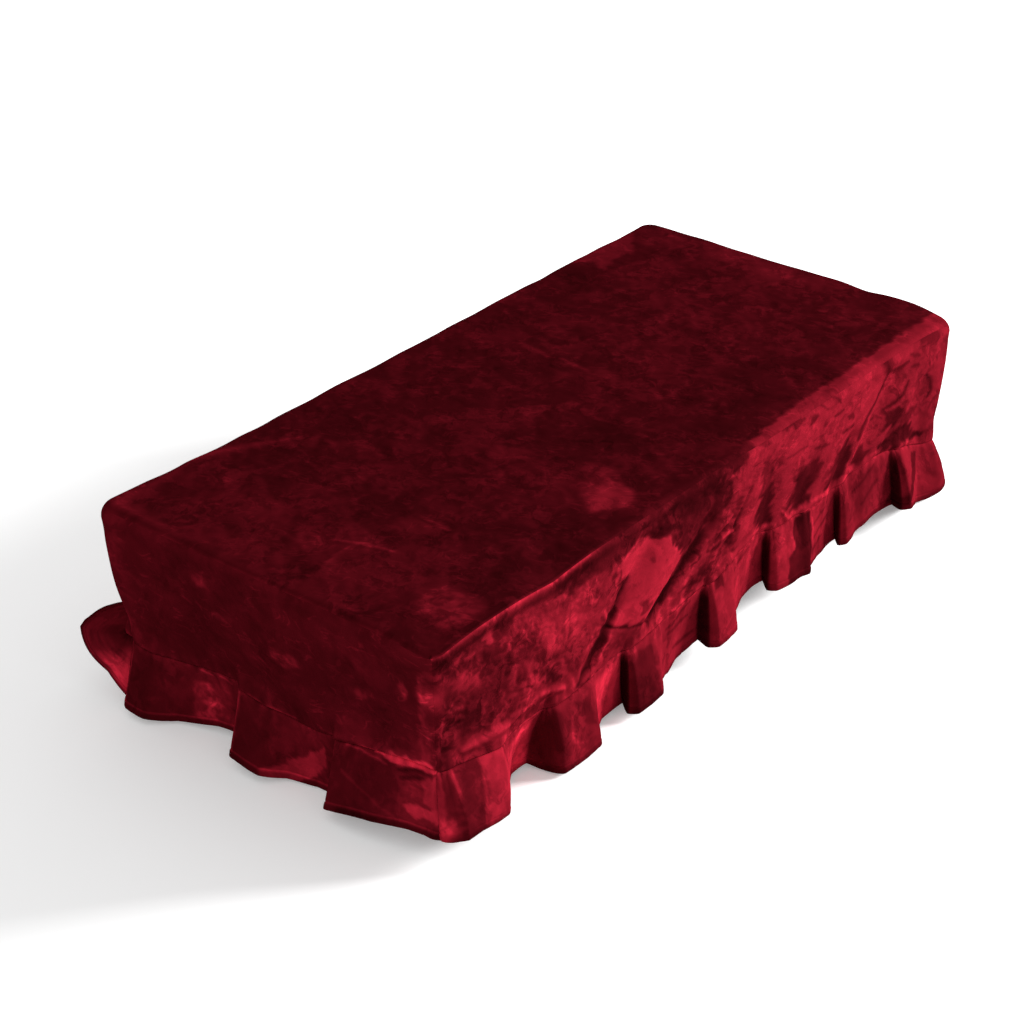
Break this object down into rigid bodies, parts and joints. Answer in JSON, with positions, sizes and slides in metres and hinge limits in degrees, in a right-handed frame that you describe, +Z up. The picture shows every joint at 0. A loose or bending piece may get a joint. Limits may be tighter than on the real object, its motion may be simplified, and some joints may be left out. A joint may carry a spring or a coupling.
{
  "type": "piano bench cover",
  "caption": "Fitted piano bench cover in crimson crushed velvet: a flat rectangular top, plain side walls and a pleated flounce with a turned hem, hollow below to go over the seat.",
  "frame": {"origin": "middle of the underside of the top panel, where it lies on the seat", "axes": "+X along the long side, +Y from the front wall to the back wall, +Z up"},
  "size_m": [0.7876, 0.4372, 0.1989],
  "materials": {
    "velvet": "crushed velvet pile, soft sheen"
  },
  "bodies": {
    "root": {"top_panel": "velvet", "front_wall": "velvet", "right_wall": "velvet", "back_wall": "velvet", "left_wall": "velvet", "front_flounce": "velvet", "right_flounce": "velvet", "back_flounce": "velvet", "left_flounce": "velvet"}
  },
  "joints": []
}
